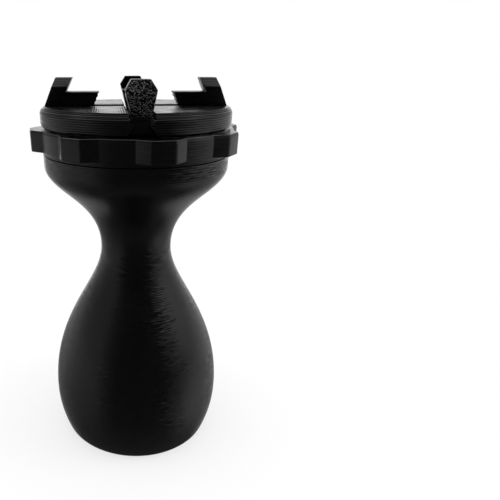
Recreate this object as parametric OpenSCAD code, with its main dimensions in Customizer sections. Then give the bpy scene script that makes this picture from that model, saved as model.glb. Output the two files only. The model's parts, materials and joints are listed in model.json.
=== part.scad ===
// Painting handle with a self-centring four-jaw clamp on top.
// A lobed ring carries a flat spiral; turning it slides the four jaws in or out together.
// Millimetres, Z up, origin at the centre of the foot.
// The jaws stand on the X and Y axes, the front one towards -Y.

/* [Grip] */
// Diameter of the flat foot
foot_d = 57; // [46:0.5:66]
// Height of the bevel round the foot
foot_edge = 0.8; // [0.3:0.1:2]
// Diameter of the belly, the widest part of the grip
belly_d = 62.6; // [50:0.2:74]
// Height of the belly above the foot
belly_z = 16.6; // [10:0.2:30]
// Diameter of the neck, the waist that the fingers hold
neck_d = 24.6; // [20:0.2:34]
// Height of the neck above the foot
neck_z = 73.2; // [56:0.2:84]
// Diameter of the bowl under the ring
bowl_d = 59.8; // [52:0.2:66]
// How far the bowl's widest place is below the seat of the ring
bowl_drop = 3.7; // [2.4:0.1:12]
// Bevel on the upper edge of the bowl
bowl_edge = 0.5; // [0.3:0.1:2]
// Height of the grip up to the seat of the ring
grip_h = 105.4; // [103:0.2:115]
// Diameter of the spigot that the ring turns on
spigot_d = 16; // [14.5:0.1:16.4]
// Width across the flats of the hexagonal key on the spigot
key_af = 10; // [8.5:0.1:11]
// Height of the hexagonal key
key_h = 1.4; // [1:0.1:1.6]

/* [Scroll ring] */
// Diameter of the ring over the corners of its lobes
ring_d = 67.2; // [64:0.1:74]
// Diameter of the ring in the valleys between its lobes
valley_d = 61.8; // [60:0.1:63]
// Height of the ring, with the lip under its lobes
ring_h = 7.7; // [6:0.1:10]
// Height of the round lip under the lobes
lip_h = 0.8; // [0.4:0.1:1.6]
// Diameter of the lip
lip_d = 60; // [58:0.1:61.4]
// Number of finger lobes
lobe_n = 8; // [5:1:10]
// Width of a lobe across its outer flat
lobe_w = 6.7; // [3:0.1:9]
// Width of a lobe at its root
lobe_root_w = 14.2; // [9.6:0.1:15]
// Angle from the right-hand jaw to the nearest lobe, in degrees
lobe_turn = 9.8; // [0:0.1:44]
// Gap under the ring
ring_gap = 0.3; // [0.1:0.05:0.6]
// Radial play between the ring's bore and the spigot
bore_play = 0.08; // [0.02:0.01:0.1]
// How far the jaws move in one turn of the ring
scroll_pitch = 4; // [3.7:0.1:4.2]
// Thickness of the spiral ridge
ridge_w = 1.7; // [1.2:0.1:1.8]
// Depth of the spiral's recess below the ring's upper face
scroll_depth = 2.4; // [1.6:0.1:3.2]
// Radial thickness of the wall outside the recess, in a valley
rim_wall = 2.3; // [1.6:0.1:2.6]
// Radial thickness of the boss round the bore
boss_wall = 1.2; // [0.8:0.1:1.4]

/* [Top plate] */
// Diameter of the plate
plate_d = 60; // [58.5:0.1:66]
// Thickness of the plate
plate_h = 5.6; // [5.4:0.1:9]
// Open gap between the plate and the ring
plate_gap = 0.4; // [0.3:0.1:1.6]
// Radius of the rounded upper edge
plate_round = 2; // [0.5:0.1:2.4]
// Bevel on the lower edge
plate_edge = 0.3; // [0.1:0.1:1]
// Width of a jaw slot at its mouth
slot_w = 7.2; // [6.4:0.1:7.6]
// Depth of the straight mouths of the slots, which meet in a cross
slot_lip = 2; // [1:0.1:2.2]
// Width of a slot at its neck
slot_neck_w = 4.6; // [4.4:0.1:5.2]
// Height of the neck of a slot
slot_neck_h = 0.3; // [0.2:0.05:0.45]
// Width of a slot where it holds the tail of the jaw
slot_tail_w = 7.4; // [6.6:0.1:7.8]

/* [Jaws] */
// Distance from the axis to the gripping end of a jaw
jaw_inner_r = 11.3; // [9.8:0.1:12.2]
// Height of the step that larger bases rest on, above the plate
step_h = 4; // [2.4:0.1:5]
// Height of a jaw above the plate
jaw_h = 8; // [6.4:0.1:12]
// Distance from the axis to the root of the finger, on the step
finger_root_r = 21.5; // [20:0.1:22.5]
// How far the finger leans in over the step
finger_hook = 2.1; // [0:0.1:3]
// Distance from the axis to the outer edge of the finger's top
finger_top_r = 24.4; // [23:0.1:26]
// Distance from the axis to the outer end of a jaw
jaw_outer_r = 28.6; // [27:0.1:29.6]
// How far below the plate's face the finger's slope ends
heel_drop = 0.8; // [0:0.1:1.2]
// Width of a jaw at its widest
jaw_w = 8.6; // [7.2:0.1:10]
// Height above the plate at which a jaw is widest
jaw_wide_z = 5.4; // [4:0.1:6]
// Width of the flat on top of a finger
jaw_top_w = 5.2; // [3:0.1:7]
// How far the gripping end is cut back at its foot
undercut = 1.6; // [0.4:0.1:1.8]
// Number of grip serrations on the gripping end
serration_n = 3; // [1:1:5]
// Depth of a grip serration
serration_t = 0.6; // [0.1:0.05:0.7]
// How far the jaws can close in from where they are drawn
travel_in = 4.6; // [3:0.1:5]
// Radial thickness of a tooth
tooth_t = 1.5; // [1:0.1:1.6]
// Width of a tooth across the jaw
tooth_w = 5; // [3:0.1:5.4]
// Number of teeth on a jaw
tooth_n = 2; // [1:1:2]
// Play between a jaw and its slot, on each side
jaw_play = 0.25; // [0.1:0.05:0.35]

/* [Fasteners] */
// Diameter of the centre screw
screw_d = 3; // [2.6:0.2:3.4]
// Diameter of the screw's countersunk head
head_d = 5.6; // [5:0.1:6.4]
// Length of the screw from the top of its head
screw_length = 10; // [7:0.5:16]
// How far the head lies below the floor of the cross
head_sink = 0.2; // [0:0.1:0.4]
// Width across the flats of the screw's socket
socket_af = 2; // [1.6:0.1:2.2]
// Depth of the screw's socket
socket_depth = 1.1; // [0.8:0.1:1.3]
// Diameter of the threaded insert
insert_d = 4.6; // [4.2:0.1:5.2]
// Length of the threaded insert
insert_length = 6; // [4:0.5:10]
// Number of grooves round the threaded insert
insert_grooves = 2; // [1:1:4]

/* [Hidden] */
$fn = 92;

// Overrun of a cut past the face that it leaves
over = 1;
// Clearance between pieces that are screwed or pressed together
seat_play = 0.05;
// Clearance above and below pieces that slide or turn past each other
glide = 0.3;
// Clearance under the tips of the teeth
tip_play = 0.4;
// Points on each curve of the grip's outline, an even number, and on the plate's rounded edge
curve_n = 12;
round_n = 6;
// Facets round the screw and its insert
fine_n = 30;
// Points on one turn of the spiral
scroll_n = 36;
// Height of the cylindrical rim of the screw's head
head_rim = 0.2;
// Depth of the hole past the tip of the screw
tip_room = 1.2;
// Width and depth of a groove in the threaded insert
groove_w = 0.8;
groove_t = 0.35;

// How far each curve of the outline holds its upright start and end, as shares of its height
belly_hold_share = 0.52;
neck_low_hold_share = 0.25;
neck_high_hold_share = 0.59;
bowl_hold_share = 0.27;
// The foot's curve is an arc of a parabola, whose inner points lie at thirds
third_share = 1 / 3;

// Heights of the stacked pieces
bowl_z = grip_h - bowl_drop;
ring_z = grip_h + ring_gap;
ring_top = ring_z + ring_h;
plate_z = ring_top + plate_gap;
plate_top = plate_z + plate_h;
scroll_floor = ring_top - scroll_depth;
key_top = plate_z + key_h;

// Radii of the spiral's recess
boss_r = spigot_d / 2 + bore_play + boss_wall;
recess_r = valley_d / 2 - rim_wall;

// Radii of the first tooth of the right-hand jaw, of the jaws' tails and of the slots' deep inner ends
tooth_r = boss_r + glide + travel_in + tooth_t / 2;
tail_inner_r = tooth_r - tooth_t / 2 - seat_play;
slot_deep_r = tail_inner_r - travel_in - glide;

// Heights of the cross's floor, the screw and its insert
cross_floor = plate_top - slot_lip;
head_top = cross_floor - head_sink;
screw_tip = head_top - screw_length;
insert_top = key_top - seat_play;
pilot_r = screw_d / 2 + seat_play;

// Colours of the pieces
grip_colour = "#1d1d1f";
ring_colour = "#18181a";
plate_colour = "#222224";
jaw_colour = "#141415";

function cubic(a, b, c, d, t) =
    a * pow(1 - t, 3) + 3 * b * t * pow(1 - t, 2) + 3 * c * t * t * (1 - t) + d * pow(t, 3);

// Points from one radius and height to the next, upright at both ends; the first point is left out
function waist_curve(r0, z0, r1, z1, hold0, hold1) = [
    for (i = [1 : curve_n])
        let (t = i / curve_n, rise = z1 - z0)
        [cubic(r0, r0, r1, r1, t), cubic(z0, z0 + hold0 * rise, z1 - hold1 * rise, z1, t)]
];

// Points of the grip's outline above the foot's bevel, bottom to top
function grip_curve() =
    let (
        foot_r = foot_d / 2,
        belly_r = belly_d / 2,
        swell = belly_r - foot_r,
        rise = belly_z - foot_edge
    )
    concat(
        [for (i = [0 : curve_n / 2])
            let (t = 2 * i / curve_n)
            [cubic(foot_r, foot_r + 2 * third_share * swell, belly_r, belly_r, t),
             cubic(foot_edge, foot_edge + third_share * rise, belly_z - third_share * rise, belly_z, t)]],
        waist_curve(belly_r, belly_z, neck_d / 2, neck_z, belly_hold_share, neck_low_hold_share),
        waist_curve(neck_d / 2, neck_z, bowl_d / 2, bowl_z, neck_high_hold_share, bowl_hold_share)
    );

module grip_body() {
    spigot_top = plate_z;
    color(grip_colour)
    difference() {
        union() {
            rotate_extrude()
                polygon(concat(
                    [[0, 0], [foot_d / 2 - foot_edge, 0]],
                    grip_curve(),
                    [[bowl_d / 2, grip_h - bowl_edge], [bowl_d / 2 - bowl_edge, grip_h],
                     [spigot_d / 2, grip_h], [spigot_d / 2, spigot_top], [0, spigot_top]]
                ));
            translate([0, 0, grip_h])
                cylinder(h = key_top - grip_h, d = hex_d(key_af), $fn = 6);
        }
        // Bore of the threaded insert, open at the top of the key
        translate([0, 0, insert_top - insert_length])
            cylinder(h = insert_length + over, r = insert_d / 2 + seat_play);
        // Room for the tip of the screw
        translate([0, 0, min(screw_tip, insert_top - insert_length) - tip_room])
            cylinder(h = insert_top - min(screw_tip, insert_top - insert_length) + tip_room, r = pilot_r);
    }
}

// Diameter over the corners of a hexagon of a given width across its flats
function hex_d(across_flats) = across_flats / cos(30);

// Radius of the groove's centre line at a given angle; the right-hand jaw is at angle zero
function groove_r(angle) = tooth_r + scroll_pitch * angle / 360;

// Outline of the spiral ridge, which lies half a pitch outside the groove
function ridge_outline() =
    let (
        step = 360 / scroll_n,
        start_r = boss_r - ridge_w / 2,
        end_r = recess_r + ridge_w / 2,
        first = ceil((start_r - scroll_pitch / 2 - tooth_r) / scroll_pitch * scroll_n),
        last = floor((end_r - scroll_pitch / 2 - tooth_r) / scroll_pitch * scroll_n)
    )
    concat(
        [for (i = [first : last])
            (groove_r(i * step) + scroll_pitch / 2 + ridge_w / 2) * [cos(i * step), sin(i * step)]],
        [for (i = [last : -1 : first])
            (groove_r(i * step) + scroll_pitch / 2 - ridge_w / 2) * [cos(i * step), sin(i * step)]]
    );

// One finger lobe: a trapezium from inside the ring to its outer flat
module lobe() {
    flat_r = sqrt(pow(ring_d / 2, 2) - pow(lobe_w / 2, 2));
    root_r = sqrt(pow(valley_d / 2, 2) - pow(lobe_root_w / 2, 2));
    polygon([
        [recess_r, -lobe_root_w / 2], [root_r, -lobe_root_w / 2], [flat_r, -lobe_w / 2],
        [flat_r, lobe_w / 2], [root_r, lobe_root_w / 2], [recess_r, lobe_root_w / 2]
    ]);
}

module scroll_ring() {
    boss_top = plate_z - glide;
    ridge_top = plate_z - glide;
    color(ring_colour)
    difference() {
        union() {
            // Lobed body, hollowed for the spiral
            difference() {
                union() {
                    translate([0, 0, ring_z + lip_h])
                        linear_extrude(height = ring_h - lip_h)
                            union() {
                                circle(d = valley_d);
                                for (i = [0 : lobe_n - 1])
                                    rotate(lobe_turn + 360 / lobe_n * i)
                                        lobe();
                            }
                    translate([0, 0, ring_z])
                        cylinder(h = lip_h + seat_play, d = lip_d);
                }
                translate([0, 0, scroll_floor])
                    cylinder(h = scroll_depth + over, r = recess_r);
            }
            // Boss round the bore
            translate([0, 0, ring_z])
                cylinder(h = boss_top - ring_z, r = boss_r);
            // Spiral ridge, trimmed to the recess
            intersection() {
                translate([0, 0, scroll_floor - seat_play])
                    linear_extrude(height = ridge_top - scroll_floor + seat_play)
                        polygon(ridge_outline());
                translate([0, 0, scroll_floor - over])
                    cylinder(h = ridge_top - scroll_floor + 2 * over, r = recess_r + seat_play);
            }
        }
        translate([0, 0, ring_z - over])
            cylinder(h = plate_z - ring_z + over, r = spigot_d / 2 + bore_play);
    }
}

// Half outline of a slot, from its mouth down, narrowed on each side by a given play
function slot_side(play) =
    let (
        taper_z = slot_lip + (slot_w - slot_neck_w) / 2,
        neck_end_z = taper_z + slot_neck_h,
        tail_z = neck_end_z + (slot_tail_w - slot_neck_w) / 2
    )
    [
        [slot_w / 2 - play, -slot_lip],
        [slot_neck_w / 2 - play, -taper_z],
        [slot_neck_w / 2 - play, -neck_end_z],
        [slot_tail_w / 2 - play, -tail_z]
    ];

// The same points on the other side, in reverse order
function mirrored(side) = [for (i = [len(side) - 1 : -1 : 0]) [-side[i][0], side[i][1]]];

// The deep part of a slot, and its mouth, which runs on to the middle
module slot_cut() {
    side = concat([[slot_w / 2, over]], slot_side(0), [[slot_tail_w / 2, -plate_h - over]]);
    translate([slot_deep_r, 0, plate_top])
        rotate([90, 0, 90])
            linear_extrude(height = plate_d / 2)
                polygon(concat(side, mirrored(side)));
    translate([0, -slot_w / 2, cross_floor])
        cube([plate_d / 2 + over, slot_w, slot_lip + over]);
}

module top_plate() {
    edge_r = plate_d / 2;
    color(plate_colour)
    difference() {
        translate([0, 0, plate_z])
            rotate_extrude()
                polygon(concat(
                    [[0, 0], [edge_r - plate_edge, 0], [edge_r, plate_edge]],
                    [for (i = [0 : round_n])
                        let (a = 90 * i / round_n)
                        [edge_r - plate_round * (1 - cos(a)), plate_h - plate_round * (1 - sin(a))]],
                    [[0, plate_h]]
                ));
        for (k = [0 : 3])
            rotate(90 * k)
                slot_cut();
        // Pocket over the hexagonal key
        translate([0, 0, plate_z - over])
            cylinder(h = key_h + over + seat_play, d = hex_d(key_af + 2 * seat_play), $fn = 6);
        // Countersunk hole of the centre screw
        rotate_extrude()
            polygon(screw_outline(plate_z - over, cross_floor + over, seat_play));
    }
}

// Outline of a jaw seen from the side, radius across and height above the plate up
function jaw_side() =
    let (
        tip_r = finger_root_r - finger_hook,
        grip_z = glide,
        bite = (step_h - grip_z) / serration_n
    )
    concat(
        // Serrated gripping end, from the step down
        [for (i = [0 : serration_n - 1])
            for (p = [[0, 0], [serration_t, -bite / 2]])
                [jaw_inner_r + undercut * i / serration_n + p[0], step_h - bite * i + p[1]]],
        [[jaw_inner_r + undercut, grip_z], [tail_inner_r, grip_z],
         [tail_inner_r, -plate_h + jaw_play], [jaw_outer_r, -plate_h + jaw_play],
         [jaw_outer_r, -heel_drop], [finger_top_r, jaw_h], [tip_r, jaw_h], [finger_root_r, step_h]]
    );

// Outline of a jaw seen from its end: wide above the plate, tapering to the slot's neck, wider at the tail
function jaw_end() =
    let (
        slot = slot_side(jaw_play),
        side = concat(
            [[jaw_top_w / 2, jaw_h], [jaw_w / 2, jaw_wide_z]],
            [for (i = [1 : len(slot) - 1]) slot[i]],
            [[slot_tail_w / 2 - jaw_play, -plate_h + jaw_play]]
        )
    )
    concat(side, mirrored(side));

// A jaw with its teeth; place counts the quarter turns from the right-hand jaw
module jaw(place) {
    first_tooth_r = groove_r(90 * place);
    tooth_bottom = scroll_floor + tip_play;
    tooth_top = plate_z + jaw_play + seat_play;
    rotate(90 * place)
    color(jaw_colour)
    union() {
        intersection() {
            translate([0, 0, plate_top])
                rotate([90, 0, 0])
                    linear_extrude(height = jaw_w + 2 * over, center = true)
                        polygon(jaw_side());
            translate([0, 0, plate_top])
                rotate([90, 0, 90])
                    linear_extrude(height = jaw_outer_r + over)
                        polygon(jaw_end());
        }
        for (i = [0 : tooth_n - 1])
            jaw_tooth(first_tooth_r + scroll_pitch * i, tooth_bottom, tooth_top);
    }
}

// A tooth is a short piece of a round wall, concentric with the ring
module jaw_tooth(mid_r, bottom, top) {
    intersection() {
        translate([0, 0, bottom])
            difference() {
                cylinder(h = top - bottom, r = mid_r + tooth_t / 2);
                translate([0, 0, -over])
                    cylinder(h = top - bottom + 2 * over, r = mid_r - tooth_t / 2);
            }
        translate([mid_r / 2, -tooth_w / 2, bottom - over])
            cube([mid_r, tooth_w, top - bottom + 2 * over]);
    }
}

module jaw_right() {
    jaw(0);
}

module jaw_back() {
    jaw(1);
}

module jaw_left() {
    jaw(2);
}

module jaw_front() {
    jaw(3);
}

module threaded_insert() {
    bottom = insert_top - insert_length;
    color("#b08a4a")
    difference() {
        translate([0, 0, bottom])
            cylinder(h = insert_length, d = insert_d, $fn = fine_n);
        translate([0, 0, bottom - over])
            cylinder(h = insert_length + 2 * over, r = pilot_r, $fn = fine_n);
        for (i = [1 : insert_grooves])
            translate([0, 0, bottom + insert_length * i / (insert_grooves + 1) - groove_w / 2])
                difference() {
                    cylinder(h = groove_w, d = insert_d + over, $fn = fine_n);
                    translate([0, 0, -over])
                        cylinder(h = groove_w + 2 * over, d = insert_d - 2 * groove_t, $fn = fine_n);
                }
    }
}

// Half outline of the screw between two heights, grown by a given play; its hole has the same outline
function screw_outline(bottom, top, play) =
    let (
        shank_r = screw_d / 2 + play,
        head_r = head_d / 2 + play,
        cone_top = head_top - head_rim
    )
    [[0, bottom], [shank_r, bottom], [shank_r, cone_top - (head_r - shank_r)], [head_r, cone_top],
     [head_r, top], [0, top]];

module centre_screw() {
    color("#3a3a3c")
    difference() {
        rotate_extrude($fn = fine_n)
            polygon(screw_outline(screw_tip, head_top, 0));
        translate([0, 0, head_top - socket_depth])
            cylinder(h = socket_depth + over, d = hex_d(socket_af), $fn = 6);
    }
}

grip_body();
scroll_ring();
top_plate();
jaw_right();
jaw_back();
jaw_left();
jaw_front();
threaded_insert();
centre_screw();
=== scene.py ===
"""Looks of a printed painting handle: waisted grip, lobed scroll ring, slotted plate and four jaws.

Lengths in the size classes are millimetres, as in the part's source. Meshes are in metres.
"""

from __future__ import annotations

import json
import logging
import math
from dataclasses import dataclass, field
from enum import Enum
from functools import partial
from typing import Any, Callable, Iterable, Sequence

import bmesh
import bpy
from bmesh.types import BMesh
from bpy.types import Material, Mesh, Node, NodeSocket, NodeTree, Object
from mathutils import Euler, Matrix, Vector

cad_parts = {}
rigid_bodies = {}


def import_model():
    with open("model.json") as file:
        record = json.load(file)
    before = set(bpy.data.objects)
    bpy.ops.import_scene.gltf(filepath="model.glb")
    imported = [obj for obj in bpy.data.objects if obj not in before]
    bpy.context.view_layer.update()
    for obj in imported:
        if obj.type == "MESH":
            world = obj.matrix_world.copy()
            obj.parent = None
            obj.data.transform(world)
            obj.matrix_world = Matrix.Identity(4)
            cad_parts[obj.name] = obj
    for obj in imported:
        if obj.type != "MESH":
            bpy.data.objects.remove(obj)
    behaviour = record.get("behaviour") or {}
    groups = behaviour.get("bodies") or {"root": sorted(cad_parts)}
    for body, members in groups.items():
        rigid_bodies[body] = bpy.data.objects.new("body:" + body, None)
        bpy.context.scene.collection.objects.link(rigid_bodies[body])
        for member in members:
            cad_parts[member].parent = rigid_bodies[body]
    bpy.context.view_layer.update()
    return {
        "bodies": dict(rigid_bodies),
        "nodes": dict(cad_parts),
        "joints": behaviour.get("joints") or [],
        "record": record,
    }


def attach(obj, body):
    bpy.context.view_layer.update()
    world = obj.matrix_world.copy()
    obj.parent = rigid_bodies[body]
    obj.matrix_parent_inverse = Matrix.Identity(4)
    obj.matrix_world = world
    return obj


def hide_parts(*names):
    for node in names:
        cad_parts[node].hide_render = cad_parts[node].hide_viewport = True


LOG = logging.getLogger("painting_handle")
MM = 0.001
# Radius in millimetres that stands for a point on the axis, until the points closer than the
# merging distance, in metres, are made one
POLE_R = 1e-6
MERGE = 1e-7
# How far a cutter reaches past what it cuts, in millimetres
PAST = 1.0
# Least Z of the normal of a face that counts as level and faces up
UPRIGHT = 0.9
# Largest share of a side that the rounding of a corner takes
ROUND_SHARE = 0.45
# Points in a turn of the ring's ridge, and sides of a laid bead
RIDGE_STEPS = 72
BEAD_SIDES = 12
# Index of refraction of PLA, and the shader's plain specular level
PLA_IOR = 1.46
PLAIN_SHINE = 0.5
# Between these lie nearly all the values of a noise
NOISE_SPAN = (0.3, 0.7)

Point2 = tuple[float, float]
Point3 = tuple[float, float, float]
Adder = Callable[..., Node]


class Side(Enum):
    """The four jaws, each by the quarter turns from the right-hand one."""

    RIGHT = 0
    BACK = 1
    LEFT = 2
    FRONT = 3

    @property
    def node(self) -> str:
        """Name of the jaw's CAD node."""
        return f"jaw_{self.name.lower()}"

    @property
    def body(self) -> str:
        """Name of the body that the jaw is."""
        return f"{self.name.lower()}_jaw"

    @property
    def turn(self) -> Matrix:
        """Rotation from the right-hand jaw to this one."""
        return Matrix.Rotation(math.radians(90 * self.value), 4, "Z")


# ---------------------------------------------------------------- nodes


def linear(hex_colour: str) -> tuple[float, float, float, float]:
    """Turns an sRGB hex colour into linear RGBA.

    Args:
        hex_colour: Six hex digits after a hash sign.

    Returns:
        Linear red, green and blue, and an alpha of one.
    """
    parts = [int(hex_colour[i:i + 2], 16) / 255 for i in (1, 3, 5)]
    red, green, blue = (p / 12.92 if p <= 0.04045 else ((p + 0.055) / 1.055) ** 2.4 for p in parts)
    return red, green, blue, 1.0


def add_node(tree: NodeTree, kind: str, inputs: dict[str | int, Any] | Sequence[Any] = (),
             **settings: Any) -> Node:
    """Adds a node with its settings and what goes into it.

    Args:
        tree: The tree that gets the node.
        kind: Blender's name for the node's type.
        inputs: Value, output socket or node, which stands for its first output, for each input, by
            name or number, or in turn.
        **settings: Properties of the node itself.

    Returns:
        The new node.
    """
    node = tree.nodes.new(kind)
    for name, value in settings.items():
        setattr(node, name, value)
    for key, value in (inputs if isinstance(inputs, dict) else dict(enumerate(inputs))).items():
        source = value.outputs[0] if isinstance(value, Node) else value
        if isinstance(source, NodeSocket):
            tree.links.new(source, node.inputs[key])
        else:
            node.inputs[key].default_value = source
    return node


def new_material(name: str) -> tuple[Material, Adder]:
    """Starts a node material.

    Args:
        name: Name of the material.

    Returns:
        The empty material, and what adds nodes to it.
    """
    material = bpy.data.materials.new(name)
    material.use_nodes = True
    material.node_tree.nodes.clear()
    return material, partial(add_node, material.node_tree)


def bent_lines(add: Adder, spot: NodeSocket, pitch: float, wander: float, bend: float,
               detail: float) -> Node:
    """Adds level lines, as the layers of a print are: a sine of the height, bent by slow noise.

    Args:
        add: Adds a node to the material.
        spot: The place in Object coordinates.
        pitch: Height of one line, in millimetres.
        wander: Size of the noise, in millimetres.
        bend: How far the noise can bend the lines, in radians.
        detail: How fine the noise is.

    Returns:
        The wave, from -1 to 1.
    """
    drift = add("ShaderNodeTexNoise", {
        "Vector": spot, "Scale": 1 / (wander * MM), "Detail": detail})
    parts = add("ShaderNodeSeparateXYZ", [spot])
    radians = 2 * math.pi / (pitch * MM)
    phase = add("ShaderNodeMath", [parts.outputs["Z"], radians], operation="MULTIPLY")
    bent = add("ShaderNodeMath", [drift.outputs["Fac"], bend, phase], operation="MULTIPLY_ADD")
    return add("ShaderNodeMath", [bent], operation="SINE")


def new_tree(name: str, sizes: Iterable[str]) -> tuple[NodeTree, Adder, Node]:
    """Starts a Geometry Nodes tree that takes a geometry, some sizes and a material.

    Args:
        name: Name of the tree.
        sizes: Names of its inputs for sizes.

    Returns:
        The tree, what adds nodes to it, and the node that gives its inputs.
    """
    tree = bpy.data.node_groups.new(name, "GeometryNodeTree")
    wanted = [
        ("Geometry", "Geometry"), *((size, "Float") for size in sizes), ("Material", "Material")]
    for label, kind in wanted:
        tree.interface.new_socket(label, in_out="INPUT", socket_type=f"NodeSocket{kind}")
    tree.interface.new_socket("Geometry", in_out="OUTPUT", socket_type="NodeSocketGeometry")
    add = partial(add_node, tree)
    return tree, add, add("NodeGroupInput")


def end_tree(add: Adder, given: Node, geometry: Node) -> None:
    """Ends a tree with its geometry made real and dressed in its material.

    Args:
        add: Adds a node to the tree.
        given: The node that gives the tree's inputs.
        geometry: The node that gives what the tree has made.
    """
    real = add("GeometryNodeRealizeInstances", [geometry])
    dressed = add("GeometryNodeSetMaterial", {
        "Geometry": real, "Material": given.outputs["Material"]})
    add("NodeGroupOutput", [dressed])


# ---------------------------------------------------------------- meshes


def mesh_object(name: str, mesh: Mesh) -> Object:
    """Puts a mesh in the scene as an object at the origin.

    Args:
        name: Name of the object and of its mesh.
        mesh: The mesh, in the row's frame.

    Returns:
        The linked object.
    """
    mesh.name = name
    piece = bpy.data.objects.new(name, mesh)
    bpy.context.scene.collection.objects.link(piece)
    return piece


def baked(piece: Object) -> Object:
    """Replaces an object's mesh and live modifiers with the plain mesh that they make.

    Args:
        piece: An object with modifiers.

    Returns:
        The same object, now without modifiers.
    """
    graph = bpy.context.evaluated_depsgraph_get()
    result = bpy.data.meshes.new_from_object(piece.evaluated_get(graph), depsgraph=graph)
    piece.modifiers.clear()
    old = piece.data
    piece.data = result
    bpy.data.meshes.remove(old)
    result.name = piece.name
    return piece


def shade(piece: Object, angle: float = 30.0) -> None:
    """Shades an object smooth, with edges sharper than an angle kept crisp.

    Args:
        piece: The object to shade.
        angle: Largest angle in degrees that still looks smooth.
    """
    mesh = piece.data
    mesh.polygons.foreach_set("use_smooth", [True] * len(mesh.polygons))
    mesh.set_sharp_from_angle(angle=math.radians(angle))


def dress(piece: Object, *materials: Material) -> None:
    """Gives an object its materials in place of those that it has.

    Args:
        piece: The object.
        *materials: What it gets, in the order of its slots.
    """
    piece.data.materials.clear()
    for material in materials:
        piece.data.materials.append(material)


def polar(radius: float, angle: float) -> Point2:
    """Place of a point at a radius and an angle in radians."""
    return radius * math.cos(angle), radius * math.sin(angle)


def turn_steps(count: int, offset: float = 0.0) -> list[float]:
    """Angles of a full turn in equal steps, the first one that part of a step on."""
    return [2 * math.pi * (i + offset) / count for i in range(count)]


def bezier(handles: Sequence[Point2], steps: int) -> list[Point2]:
    """Points of a cubic curve.

    Args:
        handles: Its start, its two handles and its end.
        steps: Number of its sides.

    Returns:
        The points, with both ends.
    """
    points = []
    for t in (k / steps for k in range(steps + 1)):
        shares = ((1 - t) ** 3, 3 * t * (1 - t) ** 2, 3 * t * t * (1 - t), t ** 3)
        points.append(tuple(sum(s * h[axis] for s, h in zip(shares, handles)) for axis in (0, 1)))
    return points


def ring_of(radius: float | Callable[[float], float], z: float,
            angles: Sequence[float]) -> list[Vector]:
    """Points of a closed loop round the axis.

    Args:
        radius: Radius in millimetres, or a function of the angle that gives it.
        z: Height in millimetres.
        angles: Angles in radians, in turn.

    Returns:
        One point for each angle, in metres.
    """
    of_angle = radius if callable(radius) else (lambda _angle: radius)
    return [Vector((*polar(of_angle(a), a), z)) * MM for a in angles]


def skin(loops: Sequence[Sequence[Vector]], closed: bool = False) -> BMesh:
    """Joins loops of equal length into one surface.

    Args:
        loops: Loops of points, from one end of the outline to the other.
        closed: Joins the last loop to the first; otherwise both ends are capped.

    Returns:
        A surface whose faces point outwards.
    """
    bm = bmesh.new()
    rows = [[bm.verts.new(p) for p in loop] for loop in loops]
    pairs = list(zip(rows, rows[1:]))
    if closed:
        pairs.append((rows[-1], rows[0]))
    else:
        bm.faces.new(list(reversed(rows[0])))
        bm.faces.new(rows[-1])
    for low, high in pairs:
        for i in range(len(low)):
            j = (i + 1) % len(low)
            bm.faces.new((low[i], low[j], high[j], high[i]))
    bmesh.ops.remove_doubles(bm, verts=bm.verts, dist=MERGE)
    bmesh.ops.recalc_face_normals(bm, faces=bm.faces)
    return bm


def prism(outline: Sequence[Point2], place: Callable[[Point2, float], Point3], start: float,
          end: float) -> BMesh:
    """A straight solid with a given outline.

    Args:
        outline: Corners of the outline in millimetres, in turn.
        place: Gives the place of a corner at a distance along the solid.
        start: Distance of one end, in millimetres.
        end: Distance of the other end.

    Returns:
        The solid, with its faces pointing outwards.
    """
    return skin([[Vector(place(p, s)) * MM for p in outline] for s in (start, end)])


def as_mesh(bm: BMesh) -> Mesh:
    """Turns an edit mesh into a mesh and frees it.

    Args:
        bm: The edit mesh.

    Returns:
        The mesh.
    """
    mesh = bpy.data.meshes.new("piece")
    bm.to_mesh(mesh)
    bm.free()
    return mesh


def combine(piece: Object, tool: BMesh, operation: str) -> None:
    """Joins, cuts or trims a solid with another, which is used up.

    Args:
        piece: The solid that stays.
        tool: The solid that is used up.
        operation: UNION, DIFFERENCE or INTERSECT.
    """
    cutter = mesh_object("cutter", as_mesh(tool))
    modifier = piece.modifiers.new("shape", "BOOLEAN")
    modifier.operation = operation
    modifier.solver = "EXACT"
    modifier.object = cutter
    baked(piece)
    mesh = cutter.data
    bpy.data.objects.remove(cutter)
    bpy.data.meshes.remove(mesh)


def rounded(corners: Sequence[Point2], radius: float, steps: int) -> list[Point2]:
    """Rounds the corners of an outline.

    Args:
        corners: Corners in millimetres, in turn.
        radius: Distance from each corner at which the rounding starts, kept under half a side.
        steps: Number of sides in each rounding.

    Returns:
        The outline with a short curve at each corner.
    """
    result: list[Point2] = []
    for i, corner in enumerate(corners):
        here = Vector(corner)
        ends = []
        for other in (corners[i - 1], corners[(i + 1) % len(corners)]):
            side = Vector(other) - here
            ends.append(here + side.normalized() * min(radius, ROUND_SHARE * side.length))
        for k in range(steps + 1):
            t = k / steps
            result.append(tuple((1 - t) ** 2 * ends[0] + 2 * t * (1 - t) * here + t ** 2 * ends[1]))
    return result


# ---------------------------------------------------------------- finishes


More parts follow.
